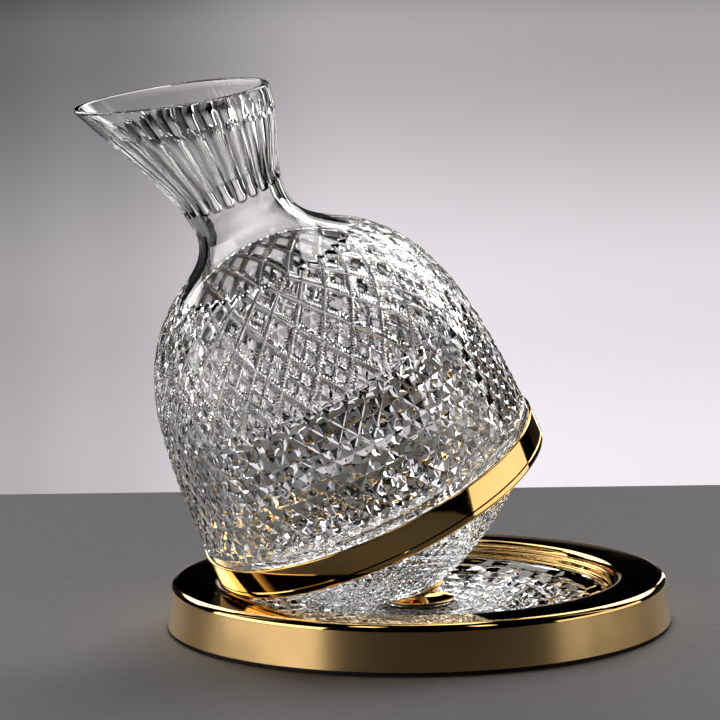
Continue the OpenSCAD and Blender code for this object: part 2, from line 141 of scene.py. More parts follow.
# ---- decanter ----
TIP_R = 11.5
TIP_S = 2.0
SOCKET_R = 6.2
SOCKET_S = 7.4
SEAT_R = 72.0
SEAT_S = 43.5
COLLAR_S = 54.1
SEAT_TOP_S = COLLAR_S - 0.6
BODY_R = 72.8
SHOULDER_R = 43.0
SHOULDER_S = 152.5
WAIST_R = 20.2
WAIST_S = 177.0
MOUTH_R = 32.0
MOUTH_S = 230.0
BODY_H = SHOULDER_S - COLLAR_S
THROAT_H = WAIST_S - SHOULDER_S
NECK_H = MOUTH_S - WAIST_S
CONE_POWER = 0.7                  # how much the foot bulges between the tip and the seat
LIP_REACH = 10.8
LIP_GROWTH = 3.6                  # how late up the neck the lip begins
LIP_POWER = 4.65                  # how narrow the lip is
MOUTH_SLOPE = 0.309
MOUTH_SLOPE_POWER = 1.5
WALL_T = 3.6
RIM_T = 2.6
RIM_RISE = 0.9
FLOOR_S = 14.0

# ---- handles of the outline's Bezier curves, as shares of each curve's height or in millimetres ----
SHOULDER_SLOPE = math.radians(52)
SLOPE_DIR = np.array([math.cos(SHOULDER_SLOPE), -math.sin(SHOULDER_SLOPE)])
BODY_FOOT_HANDLE = 0.427
BODY_FOOT_IN = 1.2
BODY_TOP_HANDLE = 0.335
THROAT_FOOT_HANDLE = 0.41
THROAT_TOP_HANDLE = 0.53
NECK_FOOT_HANDLE = 0.3
NECK_TOP_HANDLE = 0.475
NECK_TOP_IN = 1.7


# ================= meshes =================

def mesh_object(name, verts, faces, materials, sharp, indices=None):
    """A smooth mesh from points in millimetres, sharp where faces meet at more than so many degrees."""
    mesh = bpy.data.meshes.new(name)
    mesh.from_pydata((np.asarray(verts, float) * MM).tolist(), [], faces)
    for material in materials:
        mesh.materials.append(material)
    if indices is not None:
        mesh.polygons.foreach_set("material_index", np.asarray(indices, np.int32))
    mesh.polygons.foreach_set("use_smooth", np.ones(len(mesh.polygons), bool))
    mesh.set_sharp_from_angle(angle=math.radians(sharp))
    mesh.validate()
    mesh.update()
    piece = bpy.data.objects.new(name, mesh)
    bpy.context.scene.collection.objects.link(piece)
    return piece


def place(piece, matrix):
    """Moves the mesh itself, so that the object stays at the origin."""
    piece.data.transform(matrix)
    piece.data.update()
    return piece


def weld(piece):
    """Joins points that coincide and turns every face outwards."""
    gap = 1e-7
    mesh = bmesh.new()
    mesh.from_mesh(piece.data)
    bmesh.ops.remove_doubles(mesh, verts=mesh.verts, dist=gap)
    bmesh.ops.dissolve_degenerate(mesh, dist=gap, edges=mesh.edges)
    bmesh.ops.recalc_face_normals(mesh, faces=mesh.faces)
    mesh.to_mesh(piece.data)
    mesh.free()


def arc(x, y, radius, start, end, steps):
    """Points on an arc, with its angles in degrees."""
    points = []
    for step in range(steps + 1):
        angle = math.radians(start + (end - start) * step / steps)
        points.append((x + radius * math.cos(angle), y + radius * math.sin(angle)))
    return points


def ring_angles(columns):
    return np.arange(columns) * TAU / columns


def circle(height, radius, phi):
    return np.stack([radius * np.cos(phi), radius * np.sin(phi), np.full_like(phi, height)], -1)


def lathe(name, profile, columns, materials, finish=None):
    """Turns a closed profile of (radius, height) points about Z; finish picks each face's material."""
    sharp = 28
    on_axis = 1e-6
    verts = np.concatenate([circle(height, radius, ring_angles(columns)) for radius, height in profile])
    faces = []
    indices = []
    for i, start in enumerate(profile):
        j = (i + 1) % len(profile)
        end = profile[j]
        if start[0] < on_axis and end[0] < on_axis:
            continue
        material = 0 if finish is None else finish(start, end)
        for k in range(columns):
            after = (k + 1) % columns
            faces.append((i * columns + k, i * columns + after, j * columns + after, j * columns + k))
            indices.append(material)
    piece = mesh_object(name, verts, faces, materials, sharp, indices)
    weld(piece)
    return piece


def corners(rows):
    """The four corners of each cell in a closed strip of rings, in order round the cell."""
    following = np.roll(rows, -1, axis=1)
    return rows[:-1], following[:-1], following[1:], rows[1:]


def grid_faces(rows, heights=None):
    """Faces of a strip of rings; rows is [row][column] of point numbers.

    They are quads, or with heights they are triangles whose diagonal follows the cuts.
    """
    quads = np.stack(corners(np.asarray(rows)), -1)
    if heights is None:
        return quads.reshape(-1, 4).tolist()
    low, low_next, high_next, high = corners(heights)
    rising = np.maximum(low, high_next) >= np.maximum(low_next, high)
    one_way = quads[..., [[0, 1, 2], [0, 2, 3]]]
    other_way = quads[..., [[0, 1, 3], [1, 2, 3]]]
    return np.where(rising[..., None, None], one_way, other_way).reshape(-1, 3).tolist()


def zipper(low, high):
    """Triangles between two rings of different counts, both starting at angle 0."""
    n, m = len(low), len(high)
    i = j = 0
    faces = []
    while i < n or j < m:
        if j >= m or (i < n and (i + 1) / n <= (j + 1) / m):
            faces.append((low[i % n], low[(i + 1) % n], high[j % m]))
            i += 1
        else:
            faces.append((low[i % n], high[(j + 1) % m], high[j % m]))
            j += 1
    return faces


def grid_normals(points):
    """Normals of a closed strip of rings of points, outward where the rings climb."""
    across = np.roll(points, -1, axis=1) - np.roll(points, 1, axis=1)
    up = np.gradient(points, axis=0)
    normals = np.cross(across, up)
    return normals / np.maximum(np.linalg.norm(normals, axis=-1, keepdims=True), 1e-12)


def along(points):
    """Length along a line of points."""
    return np.concatenate([[0], np.cumsum(np.linalg.norm(np.diff(points, axis=0), axis=1))])


def smooth(start, end, x):
    """Rises softly from 0 at start to 1 at end."""
    t = np.clip((x - start) / (end - start), 0, 1)
    return t * t * (3 - 2 * t)


def near(x, every=1.0):
    """Distance from the nearest multiple."""
    return np.abs(x - every * np.round(x / every))


def bezier(a, b, c, d, t):
    t = np.asarray(t, float)[..., None]
    a, b, c, d = (np.asarray(point, float) for point in (a, b, c, d))
    return a * (1 - t) ** 3 + 3 * b * t * (1 - t) ** 2 + 3 * c * t * t * (1 - t) + d * t ** 3


# ================= outline of the decanter, (distance along the axis, radius) =================

def cone_radius(s):
    share = np.maximum(0, np.asarray(s, float) - TIP_S) / (SEAT_S - TIP_S)
    return TIP_R + (SEAT_R - TIP_R) * share ** CONE_POWER


def cone_heights(count):
    """Heights from the tip to the seat, closer together near the tip."""
    return TIP_S + (SEAT_S - TIP_S) * np.linspace(0, 1, count) ** 1.3


def body_curve(t):
    foot = np.array([COLLAR_S, BODY_R])
    top = np.array([SHOULDER_S, SHOULDER_R])
    foot_handle = foot + [BODY_FOOT_HANDLE * BODY_H, -BODY_FOOT_IN]
    return bezier(foot, foot_handle, top - BODY_TOP_HANDLE * BODY_H * SLOPE_DIR, top, t)


def throat_curve(t):
    foot = np.array([SHOULDER_S, SHOULDER_R])
    top = np.array([WAIST_S, WAIST_R])
    foot_handle = foot + THROAT_FOOT_HANDLE * THROAT_H * SLOPE_DIR
    return bezier(foot, foot_handle, top - [THROAT_TOP_HANDLE * THROAT_H, 0], top, t)


def neck_curve(u):
    foot = np.array([WAIST_S, WAIST_R])
    top = np.array([MOUTH_S, MOUTH_R])
    foot_handle = foot + [NECK_FOOT_HANDLE * NECK_H, 0]
    return bezier(foot, foot_handle, top - [NECK_TOP_HANDLE * NECK_H, NECK_TOP_IN], top, u)


def neck_at(u, phi, inset=0.0, up=0.0):
    """Points of the neck, with its lip and sloping mouth, for arrays of shares u and angles phi."""
    line = neck_curve(u)
    lip = LIP_REACH * ((1 + np.cos(phi)) / 2) ** LIP_POWER * u ** LIP_GROWTH
    radius = line[..., 1] + lip - inset
    x = radius * np.cos(phi)
    y = radius * np.sin(phi)
    return np.stack([x, y, line[..., 0] + MOUTH_SLOPE * x * u ** MOUTH_SLOPE_POWER + up], -1)


# ================= the cut pattern =================
# q counts rows of diamonds, up the body or down the foot, and f counts diamonds round the glass.

AROUND = 52
TALL = 1.16                       # a diamond's height over its width at the foot of the body
STRETCH = 0.30                    # how much taller that gets, between these two heights
STRETCH_FROM_S = 84
STRETCH_TO_S = 112
BODY_STEPS = 5                    # grid steps for half a diamond
BODY_COLUMNS = AROUND * 2 * BODY_STEPS
PATTERN_FROM_S = 57.5
PATTERN_TO_S = 158.0
PYRAMIDS_TO = 4.6                 # rows: pyramids up to here, and windows between bands from the next
WINDOWS_FROM = 5.8
PYRAMID_DEPTH = 0.9
BAND_DEPTH = 1.2
BAND_HALF = 1.9
BAND_LOSS = 0.6                   # share of the bands' depth that is missing among the pyramids
FINE_BAND_DEPTH = 0.62
FINE_BAND_HALF = 1.05
PILLOW = 0.22                     # how far a pyramid's edges fall below its middle
FINE_BANDS_FADE = 4               # rows below the top where the fine bands start to fade, and where they end
FINE_BANDS_END = 3
SCALLOP = 0.5
SCALLOP_SOFT = 0.12
FIRST_ROW_SOFT = 0.15

CONE_STEPS = 3
CONE_COLUMNS = AROUND * 2 * CONE_STEPS
CONE_CUT_SHARE = 0.2              # depth of the foot's cuts over the distance between them
CONE_FADE_SEAT = 0.3              # rows over which they fade out at each end
CONE_FADE_TIP = 0.5

FLUTES = 24
FLUTE_DEPTH = 1.7
FLUTE_FILL = 0.96                 # share of its place that a flute takes
FLUTE_FULL_HALF = 3.2             # half width from which a flute has its full depth
FLUTE_FADE = 6                    # length over which it reaches that depth at its ends
FLUTE_END_SHARE = 0.55
FLUTE_REST_SHARE = 0.45
FLUTES_ABOVE_WAIST = 8.0
FLUTES_BELOW_MOUTH = 10.0


def tall_at(s):
    """The diamonds stretch as they climb the body."""
    return TALL + STRETCH * smooth(STRETCH_FROM_S, STRETCH_TO_S, np.asarray(s, float))


def cut_spacing(radius, tall):
    """Distance between two neighbouring parallel cuts."""
    return TAU * radius / AROUND / math.sqrt(1 + 1 / tall ** 2)


def pattern_rows(line, steps):
    """Points of a line at even steps of the pattern's rows, and the row number q of each."""
    rate = AROUND / (TAU * line[:, 1] * tall_at(line[:, 0]))
    climbed = np.cumsum((rate[1:] + rate[:-1]) / 2 * np.diff(along(line)))
    q = np.concatenate([[0], climbed])
    wanted = np.arange(int(round(q[-1] * 2 * steps)) + 1) / (2 * steps)
    wanted[-1] = min(wanted[-1], q[-1])
    points = np.stack([np.interp(wanted, q, line[:, 0]), np.interp(wanted, q, line[:, 1])], 1)
    return points, wanted


def body_cut(phi, q, radius, q_top, tall):
    """Depth of the cuts in the body."""
    f = AROUND * phi / TAU
    spacing = cut_spacing(radius, tall)
    u = f + q
    v = f - q
    low = 1 - smooth(PYRAMIDS_TO, WINDOWS_FROM, q)
    main = np.minimum(near(u, 2), near(v, 2)) * spacing
    fine = np.minimum(near(u - 1, 2), near(v - 1, 2)) * spacing
    pillow = PILLOW * ((1 - near(u, 2)) ** 2 + (1 - near(v, 2)) ** 2) / 2 * low
    pyramid = PYRAMID_DEPTH * np.clip(1 - np.minimum(main, fine) / (spacing / 2), 0, 1) * low
    band = BAND_DEPTH * np.clip(1 - (main / BAND_HALF) ** 2, 0, 1) * (1 - BAND_LOSS * low)
    fine_band = FINE_BAND_DEPTH * np.clip(1 - (fine / FINE_BAND_HALF) ** 2, 0, 1) * (1 - low)
    fine_band = fine_band * (1 - smooth(q_top - FINE_BANDS_FADE, q_top - FINE_BANDS_END, q))
    depth = np.maximum.reduce([pyramid, band, fine_band, pillow])
    # scalloped ends under the smooth throat, and a soft start above the collar
    scallop = q_top - SCALLOP + SCALLOP * np.abs(np.cos(math.pi * f / 2))
    return depth * (1 - smooth(scallop - SCALLOP_SOFT, scallop, q)) * smooth(0, FIRST_ROW_SOFT, q)


def cone_cut(phi, q, radius):
    """Depth of the net of small pyramids on the foot."""
    f = AROUND * phi / TAU
    skew = 2 * np.minimum(near(f + q), near(f - q))
    return CONE_CUT_SHARE * cut_spacing(radius, TALL) * np.clip(1 - skew, 0, 1)


def flute_cut(phi, length, start, end, radius):
    """Depth of the concave flutes round the neck, with rounded ends."""
    half = math.pi * radius / FLUTES * FLUTE_FILL
    x = near(phi, TAU / FLUTES) * radius
    to_end = np.minimum(length - start, end - length)
    inside = np.clip(to_end / half, 0, 1)
    width = half * np.sqrt(np.clip(1 - (1 - inside) ** 2, 1e-6, 1))
    fade = FLUTE_END_SHARE + FLUTE_REST_SHARE * smooth(0, FLUTE_FADE, to_end)
    depth = np.clip(1 - (x / width) ** 2, 0, 1) * fade
    return np.where(to_end > 0, FLUTE_DEPTH * depth * np.minimum(1, half / FLUTE_FULL_HALF), 0)


# ================= the decanter, one closed glass =================

CONE_LINE_POINTS = 1200
BODY_LINE_POINTS = 2400
COLLAR_SKIP = 120                 # one ring of the plain collar for so many points of the line
THROAT_GAP = 0.3
THROAT_PITCH = 1.0
NECK_ROWS = 70
RIM_STEPS = 8
INNER_COLUMNS = 240
INNER_NECK_ROWS = 25
INNER_LINE_POINTS = 60
INNER_THROAT_POINTS = 24
INNER_LOWEST_S = FLOOR_S + 1.2
INNER_LEAST_R = 6
SOFTENINGS = 3
FLOOR_STEPS = 3
FLOOR_FLAT_R = 4
FLOOR_REACH = 0.9


class Surface:
    """Rings of points, and the faces between them."""

    def __init__(self):
        self.points = []
        self.faces = []
        self.count = 0

    def ring(self, points):
        """Adds a ring and gives the numbers of its points."""
        first = self.count
        self.count += len(points)
        self.points.append(np.asarray(points))
        return list(range(first, self.count))

    def strip(self, rings, below, heights=None):
        """Adds a strip of rings, joined to the ring before it, and gives the numbers of its last ring."""
        ids = [self.ring(points) for points in rings]
        if len(below) == len(ids[0]):
            self.faces += grid_faces([below, ids[0]])
        else:
            self.faces += zipper(below, ids[0])
        self.faces += grid_faces(ids, heights)
        return ids[-1]


def add_foot(glass):
    """The socket in the tip, which takes the flange's sleeve, then the cut foot up to the seat."""
    phi = ring_angles(CONE_COLUMNS)
    heights = cone_heights(CONE_LINE_POINTS)
    line = np.stack([heights, cone_radius(heights)], 1)[::-1]
    points, q = pattern_rows(line, CONE_STEPS)
    base = np.stack([circle(s, radius, phi) for s, radius in points])
    cut = np.stack([cone_cut(phi, row, point[1]) for point, row in zip(points, q)])
    cut *= (smooth(0, CONE_FADE_SEAT, q) * smooth(0, CONE_FADE_TIP, q[-1] - q))[:, None]
    cone = base + grid_normals(base) * cut[..., None]
    socket_top = glass.ring(circle(SOCKET_S, SOCKET_R, phi))
    glass.faces.append(tuple(reversed(socket_top)))
    socket_foot = glass.ring(circle(TIP_S, SOCKET_R, phi))
    glass.faces += grid_faces([socket_top, socket_foot])
    return glass.strip(cone[::-1], socket_foot, cut[::-1])


def add_body(glass, below, line):
    """The plain seat and collar, then the cut body; gives its last ring and that ring's height."""
    phi = ring_angles(BODY_COLUMNS)
    seat = [circle(SEAT_S + (SEAT_TOP_S - SEAT_S) * step / 3, SEAT_R, phi) for step in (1, 2, 3)]
    collar = line[line[:, 0] < PATTERN_FROM_S][::COLLAR_SKIP]
    below = glass.strip(seat + [circle(s, radius, phi) for s, radius in collar], below)
    patterned = line[(line[:, 0] >= PATTERN_FROM_S) & (line[:, 0] <= PATTERN_TO_S)]
    points, q = pattern_rows(patterned, BODY_STEPS)
    q_top = np.floor(q[-1])
    base = np.stack([circle(s, radius, phi) for s, radius in points])
    depth = []
    for (s, radius), row in zip(points, q):
        depth.append(body_cut(phi, row, radius, q_top, tall_at(s)))
    depth = np.stack(depth)
    return glass.strip(base - grid_normals(base) * depth[..., None], below, depth), points[-1][0]


def add_neck(glass, below, line, start):
    """The smooth throat, from just above a height, and the fluted neck."""
    phi = ring_angles(BODY_COLUMNS)
    upper = line[line[:, 0] > start + THROAT_GAP]
    length = along(upper)
    wanted = np.arange(0, length[-1], THROAT_PITCH)
    throat_s = np.interp(wanted, length, upper[:, 0])
    throat_r = np.interp(wanted, length, upper[:, 1])
    throat = np.stack([circle(s, radius, phi) for s, radius in zip(throat_s, throat_r)])
    shares = np.linspace(0, 1, NECK_ROWS + 1)
    neck = np.stack([neck_at(np.full(BODY_COLUMNS, share), phi) for share in shares[1:]])
    neck_length = along(neck_curve(shares))[1:]
    radii = np.linalg.norm(neck[..., :2], axis=-1)
    end = neck_length[-1] - FLUTES_BELOW_MOUTH
    flutes = [flute_cut(phi, at, FLUTES_ABOVE_WAIST, end, radius) for at, radius in zip(neck_length, radii)]
    flutes = np.stack(flutes)
    normals = grid_normals(np.concatenate([throat[-1:], neck]))[1:]
    rings = np.concatenate([throat, neck - normals * flutes[..., None]])
    heights = np.concatenate([np.zeros((len(throat), BODY_COLUMNS)), flutes])
    return glass.strip(rings, below, heights)


def add_rim(glass, below):
    phi = ring_angles(BODY_COLUMNS)
    mouth = np.ones(BODY_COLUMNS)
    rim = []
    for step in range(1, RIM_STEPS):
        angle = math.pi * step / RIM_STEPS
        rim.append(neck_at(mouth, phi, RIM_T / 2 * (1 - math.cos(angle)), RIM_RISE * math.sin(angle)))
    return glass.strip(rim, below)


def inner_line():
    """The inside's outline, a wall's thickness in from the outside's, from its floor up to the waist."""
    heights = cone_heights(INNER_LINE_POINTS)
    outside = np.concatenate([
        np.stack([heights, cone_radius(heights)], 1),
        [[SEAT_TOP_S, SEAT_R]],
        body_curve(np.linspace(0, 1, INNER_LINE_POINTS)),
        throat_curve(np.linspace(0, 1, INNER_THROAT_POINTS))[1:]])
    direction = np.gradient(outside, axis=0)
    direction /= np.linalg.norm(direction, axis=1, keepdims=True)
    inside = outside + WALL_T * np.stack([direction[:, 1], -direction[:, 0]], 1)
    # softened over the seat's small steps, so that the inside is one even bowl
    for _ in range(SOFTENINGS):
        inside[1:-1] = (inside[:-2] + 2 * inside[1:-1] + inside[2:]) / 4
    return inside[(inside[:, 0] > INNER_LOWEST_S) & (inside[:, 1] > INNER_LEAST_R)]


def add_inside(glass, below):
    """The smooth inside, from the rim down to its rounded floor."""
    phi = ring_angles(INNER_COLUMNS)
    rings = []
    for share in np.linspace(1, 0, INNER_NECK_ROWS + 1)[:-1]:
        rings.append(neck_at(np.full(INNER_COLUMNS, share), phi, WALL_T + (RIM_T - WALL_T) * share))
    line = inner_line()
    rings += [circle(s, radius, phi) for s, radius in line[::-1]]
    low_s, low_r = line[0]
    for step in range(1, FLOOR_STEPS + 1):
        angle = math.pi / 2 * step / FLOOR_STEPS
        radius = low_r - (low_r - FLOOR_FLAT_R) * math.sin(angle) * FLOOR_REACH
        rings.append(circle(FLOOR_S + (low_s - FLOOR_S) * (1 - math.sin(angle)), radius, phi))
    last = glass.strip(rings, below)
    glass.faces.append(tuple(last))


def build_decanter(materials):
    t = np.linspace(0, 1, BODY_LINE_POINTS)
    line = np.concatenate([body_curve(t), throat_curve(t[1:])])
    glass = Surface()
    foot_top = add_foot(glass)
    body_top, body_top_s = add_body(glass, foot_top, line)
    neck_top = add_neck(glass, body_top, line, body_top_s)
    add_inside(glass, add_rim(glass, neck_top))
    piece = mesh_object("decanter_glass", np.concatenate(glass.points), glass.faces, materials, sharp=14)
    return place(piece, GLASS_PLACE)


# ================= dish with pressed fans =================

FANS = 24
FAN_RINGS = 8
FAN_STEP = 0.78                   # a ring's size over that of the next one out
FAN_REACH = 1.15                  # how many rings a fan spans
FAN_MARGIN = 1.5
FAN_ARCS = 2
FAN_DEPTH = 1.3
FAN_FULL_SIZE = 9                 # a fan of this size or more has its full depth
HUB_PLAIN_W = 0.5
HUB_FADE_W = 1.0
DISH_COLUMNS = 720
DISH_HUB_RINGS = 12
DISH_RINGS = 110
DISH_UNDER_RINGS = 24
DISH_FINE_FROM_R = 20
DISH_EDGE = 0.5
DISH_EDGE_DROP = 1.0
DISH_UNDER_POWER = 1.6


def dish_face(radius):
    return DISH_CENTRE_Z + (DISH_RIM_Z - DISH_CENTRE_Z) * (radius / DISH_R) ** 2


def dish_under(radius):
    share = np.clip((radius - DISH_UNDER_IN) / (DISH_UNDER_OUT - DISH_UNDER_IN), 0, 1)
    return DISH_HUB_Z + (DISH_BOTTOM_Z - DISH_HUB_Z) * share ** DISH_UNDER_POWER


def fan_relief(radius, phi):
    """Depth of the pressed fans: rings of scales with concentric arcs, the inner scales on top."""
    depth = np.zeros(np.broadcast(radius, phi).shape)
    done = np.zeros(depth.shape, bool)
    for ring in reversed(range(FAN_RINGS)):
        outer = (DISH_R - FAN_MARGIN) * FAN_STEP ** ring
        centre = outer * FAN_STEP ** FAN_REACH
        size = outer - centre
        f = FANS * phi / TAU + (ring % 2) * 0.5
        angle = (f - np.round(f)) * TAU / FANS
        from_centre = np.hypot(angle * centre, radius * np.cos(angle) - centre) / size
        mine = (from_centre < 1) & ~done & (radius < outer)
        wave = 1 - np.abs(2 * ((from_centre * FAN_ARCS) % 1) - 1)
        depth = np.where(mine, FAN_DEPTH * np.minimum(1, size / FAN_FULL_SIZE) * wave, depth)
        done |= mine
    return depth


def build_dish(materials):
    phi = ring_angles(DISH_COLUMNS)
    hub_radii = np.linspace(DISH_HOLE_R, DISH_FINE_FROM_R, DISH_HUB_RINGS)[:-1]
    radii = np.concatenate([hub_radii, np.linspace(DISH_FINE_FROM_R, DISH_R - 2 * DISH_EDGE, DISH_RINGS)])
    cut = np.stack([fan_relief(np.full(DISH_COLUMNS, radius), phi) for radius in radii])
    cut *= smooth(DISH_HOLE_R + HUB_PLAIN_W, DISH_HOLE_R + HUB_PLAIN_W + HUB_FADE_W, radii)[:, None]
    top = np.stack([circle(dish_face(radius), radius, phi) for radius in radii])
    top[..., 2] -= cut
    rings = list(top)
    edge = arc(DISH_R - DISH_EDGE, DISH_RIM_Z - DISH_EDGE_DROP, DISH_EDGE, 80, 0, 4)
    rings += [circle(z, radius, phi) for radius, z in edge]
    rings.append(circle(DISH_BOTTOM_Z, DISH_R, phi))
    under_radii = np.linspace(DISH_UNDER_OUT, DISH_UNDER_IN, DISH_UNDER_RINGS)
    rings += [circle(dish_under(radius), radius, phi) for radius in under_radii]
    rings.append(circle(DISH_HUB_Z, DISH_HOLE_R, phi))
    ids = np.arange(len(rings) * DISH_COLUMNS).reshape(len(rings), DISH_COLUMNS)
    heights = np.zeros(ids.shape)
    heights[:len(cut)] = cut
    faces = grid_faces(ids, heights) + grid_faces([ids[-1], ids[0]])
    piece = mesh_object("pressed_dish", np.concatenate(rings), faces, materials, sharp=18)
    weld(piece)
    return piece


# ================= materials =================
# Scales are in patches per metre, and depths of grain in metres.

NOISE_LOW = 0.3                   # nearly all of a noise's values lie between these two
NOISE_HIGH = 0.7
GLASS_IOR = 1.52


def feed(tree, socket, value):
    """Links another node's output to a socket, or sets a plain value on it."""
    if isinstance(value, bpy.types.NodeSocket):
        tree.links.new(value, socket)
    else:
        socket.default_value = value


def new_material(name):
    material = bpy.data.materials.new(name)
    material.use_nodes = True
    return material, material.node_tree, material.node_tree.nodes["Principled BSDF"]


def noise(tree, scale, detail=3.0):
    """A noise in the object's own place."""
    coords = tree.nodes.new("ShaderNodeTexCoord")
    node = tree.nodes.new("ShaderNodeTexNoise")
    node.inputs["Scale"].default_value = scale
    node.inputs["Detail"].default_value = detail
    tree.links.new(coords.outputs["Object"], node.inputs["Vector"])
    return node.outputs["Fac"]


def ramp(tree, value, low, high):
    """A colour between low and high, by a noise."""
    node = tree.nodes.new("ShaderNodeValToRGB")
    first, last = node.color_ramp.elements
    first.position = NOISE_LOW
    last.position = NOISE_HIGH
    first.color = low
    last.color = high
    tree.links.new(value, node.inputs["Fac"])
    return node.outputs["Color"]


def spread(tree, value, low, high):
    """A number between low and high, by a noise."""
    node = tree.nodes.new("ShaderNodeMapRange")
    node.inputs["From Min"].default_value = NOISE_LOW
    node.inputs["From Max"].default_value = NOISE_HIGH
    node.inputs["To Min"].default_value = low
    node.inputs["To Max"].default_value = high
    tree.links.new(value, node.inputs["Value"])
    return node.outputs["Result"]


def bump(tree, shader, value, distance, strength):
    node = tree.nodes.new("ShaderNodeBump")
    node.inputs["Distance"].default_value = distance
    node.inputs["Strength"].default_value = strength
    tree.links.new(value, node.inputs["Height"])
    tree.links.new(node.outputs["Normal"], shader.inputs["Normal"])


def metal(name, low, high, rough, grain, grain_scale, patch_scale=40.0):
    """A metal whose colour and gloss vary softly, with fine grain in its surface."""
    material, tree, shader = new_material(name)
    shader.inputs["Metallic"].default_value = 1.0
    tree.links.new(ramp(tree, noise(tree, patch_scale), low, high), shader.inputs["Base Color"])
    gloss = spread(tree, noise(tree, patch_scale * 2.3, detail=5.0), *rough)
    tree.links.new(gloss, shader.inputs["Roughness"])
    bump(tree, shader, noise(tree, grain_scale, detail=4.0), grain, strength=0.5)
    return material


def clear_glass(name, waviness, wave_scale):
    """Clear glass with faint waves and traces of haze."""
    material, tree, shader = new_material(name)
    shader.inputs["Base Color"].default_value = (1, 1, 1, 1)
    shader.inputs["Transmission Weight"].default_value = 1.0
    shader.inputs["IOR"].default_value = GLASS_IOR
    haze = spread(tree, noise(tree, scale=90.0, detail=4.0), low=0.0, high=0.012)
    tree.links.new(haze, shader.inputs["Roughness"])
    bump(tree, shader, noise(tree, wave_scale, detail=2.0), waviness, strength=0.35)
    return material


def plain(name, low, high, rough, grain, grain_scale, coat=0.0):
    """Rubber, plastic, adhesive or floor, mottled and lightly textured."""
    material, tree, shader = new_material(name)
    tree.links.new(ramp(tree, noise(tree, scale=120.0), low, high), shader.inputs["Base Color"])
    tree.links.new(spread(tree, noise(tree, scale=200.0, detail=4.0), *rough), shader.inputs["Roughness"])
    shader.inputs["Coat Weight"].default_value = coat
    bump(tree, shader, noise(tree, grain_scale, detail=4.0), grain, strength=0.6)
    return material


gold = metal(
    "gold_polished", (0.74, 0.47, 0.17, 1), (0.80, 0.53, 0.21, 1),
    rough=(0.04, 0.07), grain=0.000002, grain_scale=2500)
gold_satin = metal(
    "gold_satin", (0.75, 0.49, 0.21, 1), (0.82, 0.56, 0.26, 1),
    rough=(0.20, 0.26), grain=0.000003, grain_scale=4200)
crystal = clear_glass("crystal_cut", waviness=0.00004, wave_scale=60.0)
pressed = clear_glass("pressed_glass", waviness=0.0001, wave_scale=220.0)
zinc = metal(
    "zinc_steel", (0.66, 0.67, 0.69, 1), (0.78, 0.79, 0.80, 1),
    rough=(0.10, 0.18), grain=0.000006, grain_scale=900, patch_scale=60)
cast = metal(
    "cast_steel", (0.10, 0.10, 0.10, 1), (0.20, 0.19, 0.18, 1),
    rough=(0.45, 0.65), grain=0.0002, grain_scale=500, patch_scale=90)
bearing = metal(
    "bearing_steel", (0.62, 0.63, 0.65, 1), (0.74, 0.75, 0.77, 1),
    rough=(0.08, 0.16), grain=0.000005, grain_scale=2000, patch_scale=200)
bronze = metal(
    "bronze_turned", (0.52, 0.34, 0.15, 1), (0.66, 0.46, 0.24, 1),
    rough=(0.2, 0.34), grain=0.00001, grain_scale=2400, patch_scale=120)
pad = plain(
    "pad_rubber", (0.012, 0.012, 0.013, 1), (0.03, 0.03, 0.032, 1),
    rough=(0.7, 0.9), grain=0.0001, grain_scale=1500)
seal = plain(
    "seal_rubber", (0.02, 0.02, 0.02, 1), (0.045, 0.045, 0.045, 1),
    rough=(0.45, 0.7), grain=0.00006, grain_scale=1800)
slip = plain(
    "slip_plastic", (0.78, 0.77, 0.73, 1), (0.86, 0.85, 0.81, 1),
    rough=(0.35, 0.5), grain=0.00003, grain_scale=1500)
glue = plain(
    "cured_adhesive", (0.78, 0.78, 0.74, 1), (0.88, 0.88, 0.84, 1),
    rough=(0.12, 0.25), grain=0.00004, grain_scale=900, coat=0.3)

# ---- CAD nodes that stay as they are, with better materials ----
KEPT_NODES = {
    "foot_pad": pad, "base_plate": zinc, "plate_screws": zinc, "ballast_ring": cast,
    "dish_gasket": seal, "centre_gasket": seal, "hub_housing": zinc, "hub_rivets": zinc,
    "bearing_outer_race": bearing, "bearing_inner_race": bearing, "bearing_balls": bearing,
    "bearing_cage": bronze, "spacer_washer": bronze, "spindle_clip": zinc, "pivot_ball": bearing,
    "ball_cup": bronze, "thrust_washer": slip, "spin_bush": bronze, "tip_adhesive": glue,
    "band_adhesive": glue}
for node_name, node_material in KEPT_NODES.items():
    node_mesh = frame["nodes"][node_name].data
    node_mesh.materials.clear()
    node_mesh.materials.append(node_material)


# ================= gold pieces =================

